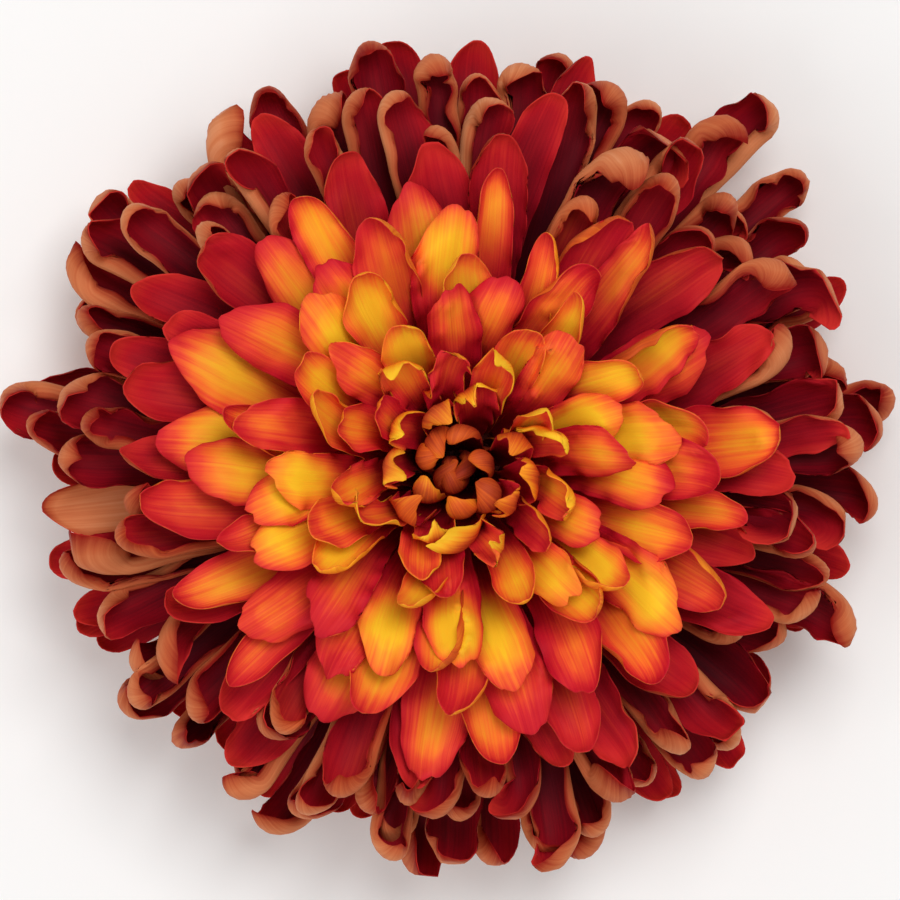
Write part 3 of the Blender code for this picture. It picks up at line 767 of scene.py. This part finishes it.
def receptacle_shape():
    """The receptacle: the stem's ribs run out on its neck, and its dome is pitted where florets stand."""
    seats = np.radians(np.linspace(DOME_EDGE, 0.0, DOME_POINTS))
    dome = np.stack([DOME_RADIUS * np.sin(seats), DOME_HEIGHT + DOME_RISE * np.cos(seats)], -1) / MM
    profile = list(NECK_PROFILE) + [tuple(point) for point in dome]
    profile[-1] = (0.0, profile[-1][1])

    def relief(share, angle, radius):
        ribs = RIB_HEIGHT * np.cos(RIBS * angle) * (1.0 - smooth(*NECK_RIBS_TO, share))
        pits = PIT_HEIGHT * np.sin(PITS_ROUND * angle) * np.sin(PITS_ALONG * share)
        return ribs + pits * smooth(*PITS_FROM, share)

    return turn_profile(profile, DOME_GRID, relief)


def bract(ring, angle, chance):
    """One bract: a pointed leaf with a keel, pressed against the cup under the florets."""
    rows, columns = BRACT_GRID
    u, v = np.meshgrid(np.linspace(-1.0, 1.0, columns + 1), np.linspace(0.0, 1.0, rows + 1))
    tip = ring.tip * chance.uniform(*BRACT_TIPS)
    radius = BRACT_FOOT + (tip - BRACT_FOOT) * v
    shoulder = np.clip((v - SHOULDER) / (1.0 - SHOULDER), 0.0, 1.0)
    outline = BRACT_BASE + (1.0 - BRACT_BASE) * smooth(0.0, SHOULDER, v)
    outline = outline * (BRACT_POINT + (1.0 - BRACT_POINT) * (1.0 - shoulder**SHOULDER_ROUND) ** POINT_ROUND)
    half = np.minimum(0.5 * ring.width * outline, ROOM * math.pi * radius / ring.count)
    beside = half * u + chance.uniform(*BRACT_BENDS) * v**2
    height = np.interp(radius, *zip(*CUP_UNDERSIDE)) - ring.drop * smooth(*DROPPING, v)
    keel = KEEL_DEPTH * bell(u, KEEL_WIDTH) * (1.0 - KEEL_FADE * v)
    height = height + CUP_DEPTH * u**2 * outline - keel
    lengthwise, crosswise = BRACT_WAVES
    waves = np.sin(lengthwise * v + crosswise * u + chance.uniform(*BRACT_PHASES))
    height = height + BRACT_WAVE * waves * v
    height = height + chance.uniform(*BRACT_LIFTS) * smooth(*LIFTING, v)
    turn = angle + np.arctan2(beside, radius)
    out = np.hypot(beside, radius)
    points = np.stack([out * np.cos(turn), out * np.sin(turn), height], -1) * MM + AXIS
    thickness = (BRACT_THICKNESS - BRACT_THINNING * np.maximum(np.abs(u), v**2)) * MM
    return close_blade(points, thickness, u, v, np.abs(u))


def involucre_shapes():
    """Three rings of bracts, each over the one inside it."""
    chance = random.Random(BRACT_SEED)
    shapes = []
    for ring in BRACT_RINGS:
        for number in range(ring.count):
            angle = math.tau * (number + ring.turn + chance.uniform(*BRACT_WANDER)) / ring.count
            shapes.append(bract(ring, angle, chance))
    return shapes


def srgb(code):
    """A web colour as linear red, green, blue and alpha."""
    values = [int(code[i : i + 2], 16) / 255.0 for i in (1, 3, 5)]
    return tuple(c / 12.92 if c <= 0.04045 else ((c + 0.055) / 1.055) ** 2.4 for c in values) + (1.0,)


class Nodes:
    """A short way to write a material's node tree."""

    def __init__(self, name):
        self.material = bpy.data.materials.new(name)
        self.material.use_nodes = True
        self.tree = self.material.node_tree
        self.shader = self.tree.nodes["Principled BSDF"]

    def add(self, kind, settings=(), **inputs):
        """A shader node, with its settings and what goes into its inputs."""
        node = self.tree.nodes.new("ShaderNode" + kind)
        for key, value in dict(settings).items():
            setattr(node, key, value)
        for key, value in inputs.items():
            self.feed(node.inputs[key], value)
        return node

    def feed(self, socket, value):
        """Link a socket to another one or to a node's first output, or set its value."""
        if hasattr(value, "is_output"):
            self.tree.links.new(value, socket)
        elif isinstance(value, bpy.types.Node):
            self.tree.links.new(value.outputs[0], socket)
        else:
            socket.default_value = value

    def mark(self, label, output="Fac"):
        """A mark of the mesh."""
        return self.add("Attribute", {"attribute_name": label}).outputs[output]

    def marks(self, label):
        """The three values of a mark of the mesh."""
        return self.add("SeparateXYZ", Vector=self.mark(label, "Vector")).outputs

    def math(self, operation, first, *others):
        """Take values together from left to right."""
        for other in others:
            node = self.add("Math", {"operation": operation})
            self.feed(node.inputs[0], first)
            self.feed(node.inputs[1], other)
            first = node
        return first

    def plus(self, *values):
        return self.math("ADD", *values)

    def times(self, *values):
        return self.math("MULTIPLY", *values)

    def off_middle(self, value):
        """How far a value from 0 to 1 is off a half."""
        return self.math("SUBTRACT", value, 0.5)

    def noise(self, values, scales, **inputs):
        """Noise at the place of three values, each by its own scale."""
        x, y, z = (self.times(*pair) for pair in zip(values, scales))
        place = self.add("CombineXYZ", X=x, Y=y, Z=z)
        return self.add("TexNoise", Vector=place, **inputs)

    def ramp(self, factor, *stops):
        """Colours or strengths at their places on a ramp."""
        node = self.add("ValToRGB", Fac=factor)
        elements = node.color_ramp.elements
        while len(elements) < len(stops):
            elements.new(0.5)
        for element, (position, colour) in zip(elements, stops):
            element.position = position
            element.color = srgb(colour) if isinstance(colour, str) else (colour, colour, colour, 1.0)
        return node

    def mix(self, factor, first, second):
        """The first colour where the factor is 0, the second where it is 1."""
        node = self.add("Mix", {"data_type": "RGBA"})
        for place, value in ((0, factor), (6, first), (7, second)):
            self.feed(node.inputs[place], value)
        return node.outputs[2]

    def shade(self, inputs):
        """The material, with what goes into its shader's inputs."""
        for key, value in inputs.items():
            self.feed(self.shader.inputs[key], value)
        return self.material

    def skin(self, colour, roughness, shine, relief, depth):
        """The material, with its colour, its gloss and a relief of a depth."""
        bump = self.add("Bump", Strength=0.5, Distance=depth, Height=relief)
        gloss = {"Roughness": roughness, "Specular IOR Level": shine}
        return self.shade({"Base Color": colour, **gloss, "Normal": bump})


def petal_material(name, shine):
    """The florets' skin: a face and a reverse, each dark or bright as the floret's warmth says."""
    n = Nodes(name)
    v, u, q = n.marks("place")
    warm, gold, pick = n.marks("floret")
    reverse, hem = n.mark("reverse"), n.mark("hem")
    stray = n.off_middle(pick)

    # Veins, drawn out along the blade, and broad clouds across it.
    vein = n.noise((u, v, pick), VEINS, Scale=1.0, Detail=4.0, Roughness=0.62)
    veins = n.off_middle(vein)
    clouds = n.off_middle(n.noise((u, v, pick), CLOUDS, Scale=1.0, Detail=2.0))
    grain = n.plus(veins, n.times(clouds, CLOUD_SHARE))

    # Bright face: gold down the middle of the outer half, from a place of each floret's own, red at the base
    # and along the edges, and on some a yellow hem. A painted highlight lightens the middle, and painted
    # shade darkens the rim.
    along_gold = n.ramp(n.plus(v, n.times(stray, GOLD_STRAY)), *GOLD_ALONG)
    middle_gold = n.times(along_gold, n.ramp(q, *GOLD_ACROSS), gold)
    face_hem = n.times(n.ramp(q, *HEM_ACROSS), hem, n.ramp(v, (0.55, 0.0), (0.85, 0.8)))
    # Painted highlight down the middle, and painted shade beyond its edge towards the rim.
    middle_highlight = n.times(along_gold, n.math("SUBTRACT", MIDDLE_HIGHLIGHT_EDGE, q), MIDDLE_HIGHLIGHT)
    bright = n.ramp(n.plus(middle_gold, face_hem, middle_highlight, n.times(grain, BRIGHT_GRAIN)), *BRIGHT_FACE)
    # Dark face: near-black maroon at the foot and in the trough, partly the florets' own deep tone and partly
    # painted shade of the crevices under the row above; crimson towards the tip and the edges.
    crimson = n.plus(n.ramp(v, *CRIMSON_ALONG), n.times(n.ramp(q, (0.3, 0.0), (1.0, 0.34)), v))
    dark = n.ramp(n.plus(crimson, n.times(grain, DARK_GRAIN), n.times(gold, GOLD_ON_DARK)), *DARK_FACE)

    # Reverse: tan bronze on the dark florets, its palest pinkish tan towards the tips and down the middle
    # band partly painted highlight, and golden towards the tips of the bright ones.
    tan_place = n.times(n.ramp(q, *TAN_ACROSS), n.ramp(v, (0.15, 0.35), (0.75, 1.0)))
    tan_grain = n.times(veins, TAN_VEINS), n.times(clouds, TAN_CLOUDS), n.times(stray, TAN_STRAY)
    tan = n.ramp(n.plus(tan_place, *tan_grain), *TAN_REVERSE)
    golden_place = n.times(n.ramp(v, (0.35, 0.22), (0.9, 0.56)), n.ramp(gold, (0.0, 0.5), (0.4, 1.0)))
    back_hem = n.times(n.ramp(q, *BACK_HEM_ACROSS), hem)
    golden = n.ramp(n.plus(golden_place, back_hem, n.times(grain, GOLDEN_GRAIN)), *GOLDEN_REVERSE)

    colour = n.mix(reverse, n.mix(warm, dark, bright), n.mix(warm, tan, golden))
    return n.skin(colour, roughness=0.55, shine=shine, relief=vein, depth=VEIN_DEPTH)


def bract_material():
    """Green leaf with fine lines, and a dry, papery edge and tip."""
    n = Nodes("bract_leaf")
    v, u, q = n.marks("place")
    where = n.add("TexCoord").outputs["Object"]
    blotch = n.add("TexNoise", Vector=where, Scale=420.0, Detail=3.0)
    lines = n.noise((u, v, blotch), BRACT_LINES, Scale=1.6, Detail=4.0)
    leaf = n.ramp(n.plus(n.times(lines, LINE_SHARE), n.times(blotch, BLOTCH_SHARE)), *LEAF)
    edge = n.math("MAXIMUM", n.ramp(q, (0.66, 0.0), (0.84, 1.0)), n.ramp(v, (0.86, 0.0), (0.97, 1.0)))
    edge = n.times(edge, n.ramp(v, (0.12, 0.0), (0.35, 1.0)))
    colour = n.mix(edge, leaf, n.ramp(lines, *PAPER))
    return n.skin(colour, roughness=0.62, shine=0.25, relief=lines, depth=VEIN_DEPTH)


def stem_material(name, stops, low, high, inside):
    """Green skin streaked up and down, and outside the shares low to high of the profile a colour that goes
    by
    the distance from the axis: bare flesh on the stem, and dark red-brown painted shade on the receptacle's
    dome."""
    n = Nodes(name)
    share, _, radius = n.marks("place")
    where = n.add("TexCoord").outputs["Object"]
    drawn_out = n.add("Mapping", Vector=where, Scale=(1.0, 1.0, 0.25))
    grain = n.add("TexNoise", Vector=drawn_out, Scale=1500.0, Detail=5.0, Roughness=0.6)
    bundles = n.add("TexVoronoi", Vector=where, Scale=2400.0).outputs["Distance"]
    ring = n.plus(radius, n.times(n.off_middle(grain), FLESH_AND_SHADE_STRAY))
    # On the receptacle's dome this is dark red-brown painted shade.
    flesh_and_painted_shade = n.mix(n.times(bundles, BUNDLE_SHARE), n.ramp(ring, *inside), srgb(inside[-1][1]))
    bare_and_shaded = n.ramp(share, (low, 1.0), (low + BARE_LOW, 0.0), (high, 0.0), (high + BARE_HIGH, 1.0))
    colour = n.mix(bare_and_shaded, n.ramp(grain, *stops), flesh_and_painted_shade)
    return n.skin(colour, roughness=0.6, shine=0.3, relief=grain, depth=GRAIN_DEPTH)


def add_petals():
    """Every row of florets, as the CAD's nodes: the lowest rows floret by floret, the rest row by row."""
    materials = {slot: petal_material(slot, shine) for slot, shine in SHINE.items()}
    laid = np.full([2 * MAP_HALF + 1] * 2, MAP_EMPTY)
    for level, (row, fineness, slot) in enumerate(zip(ROWS, FINENESS, SLOTS)):
        # A row's florets are laid from the last to the first.
        petals = [petal(plan, row.count, fineness, laid) for plan in reversed(row_plans(level))][::-1]
        if level < len(SINGLE_ROWS):
            for number, blade in enumerate(petals, 1):
                node = f"{SINGLE_ROWS[level]}_{number:02d}"
                make_piece(f"petal_{node}", [blade], materials[slot], node)
        else:
            node = f"floret_row_{level + 1:02d}"
            make_piece(f"petals_{node}", petals, materials[slot], node)


def add_green_parts():
    """The stem with its cut end and its hidden top bare, the receptacle with its dome dark red-brown as
    painted shade, the bracts.
    """
    skin = stem_material("stem_skin", STEM_SKIN, low=0.19, high=0.90, inside=STEM_CUT)
    flesh_and_painted_shade = stem_material("receptacle_skin_and_shade", DOME_SKIN, low=-0.10, high=0.40, inside=DOME_PAINTED_SHADE)
    make_piece("stem_stub_cut", [stem_shape()], skin, "stem_stub")
    make_piece("receptacle_dome", [receptacle_shape()], flesh_and_painted_shade, "receptacle")
    make_piece("involucre_bracts", involucre_shapes(), bract_material(), "involucre")


def add_studio():
    """A plain pale floor, soft light, and the camera straight above the bloom."""
    n = Nodes("floor_paper")
    noise = n.add("TexNoise", Scale=40.0, Detail=3.0)
    mesh = bpy.data.meshes.new("studio_floor")
    corners = [(x * FLOOR_HALF, y * FLOOR_HALF, 0.0) for x, y in ((-1, -1), (1, -1), (1, 1), (-1, 1))]
    mesh.from_pydata(corners, [], [(0, 1, 2, 3)])
    mesh.materials.append(n.shade({"Base Color": n.ramp(noise, *FLOOR_PAPER), "Roughness": 0.9}))
    floor = link("studio_floor", mesh)

    world = bpy.data.worlds.new("studio")
    world.use_nodes = True
    background = world.node_tree.nodes["Background"]
    background.inputs["Color"].default_value = (1.0, 1.0, 1.0, 1.0)
    background.inputs["Strength"].default_value = 0.43
    bpy.context.scene.world = world
    for name, place, size, power in LAMPS:
        data = bpy.data.lights.new(name, "AREA")
        data.size = size
        data.energy = power
        lamp = link(name, data)
        lamp.location = place
        lamp.rotation_euler = (-Vector(place)).to_track_quat("-Z", "Y").to_euler()

    data = bpy.data.cameras.new("camera")
    data.lens = 289.0
    data.sensor_width = 36.0
    data.clip_end = 5.0
    camera = link("camera", data)
    camera.location = (0.0, 0.0, 0.9)
    bpy.context.scene.camera = camera
    bpy.context.scene.view_settings.view_transform = "Standard"


add_petals()
add_green_parts()
add_studio()
